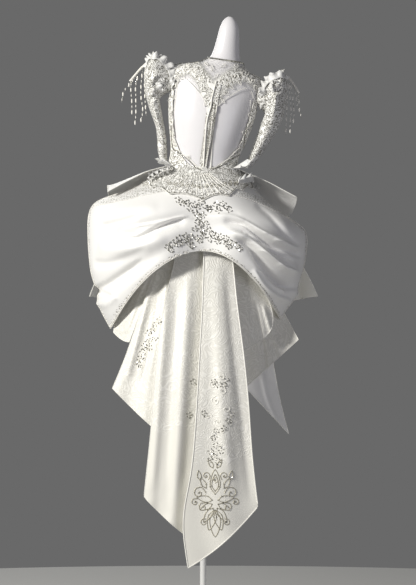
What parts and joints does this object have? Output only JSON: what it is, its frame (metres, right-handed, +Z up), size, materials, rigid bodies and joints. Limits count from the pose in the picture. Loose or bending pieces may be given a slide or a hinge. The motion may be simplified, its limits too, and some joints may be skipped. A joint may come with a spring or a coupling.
{
  "type": "homecoming dress on a dress form",
  "caption": "White homecoming dress with an open lace back, puffed sleeves, a swagged bustle and a pointed train, on a limbless dress form with a pole stand.",
  "frame": {"origin": "the middle of the stand's foot, on the floor", "axes": "+Z up, -Y the way the wearer would face, +X the wearer's left"},
  "size_m": [0.8262, 0.6157, 2.1377],
  "materials": {
    "satin": "soft white satin",
    "brocade": "ivory woven brocade",
    "lace": "corded lace on net",
    "net": "fine sheer net",
    "form_shell": "glossy white",
    "stand_paint": "white paint",
    "beads": "small clear and silver beads"
  },
  "bodies": {
    "root": {"dress_form": "form_shell", "stand_pole": "stand_paint", "stand_foot": "stand_paint", "yoke_back": "lace", "yoke_front": "lace", "back_net_left": "net", "back_net_right": "net", "bodice_side_left": "lace", "bodice_side_right": "lace", "bodice_front": "lace", "centre_strip": "lace", "sleeve_left": "lace", "sleeve_right": "lace", "basque": "lace", "peplum": "satin", "bustle": "satin", "inner_swag_left": "brocade", "inner_swag_right": "brocade", "front_skirt": "satin", "train_left": "brocade", "train_right": "brocade", "train_flare": "brocade", "side_drape": "brocade", "side_point": "satin", "shoulder_spray_left": "beads", "shoulder_spray_right": "beads", "waist_tuft_left": "net", "waist_tuft_right": "net"}
  },
  "joints": []
}
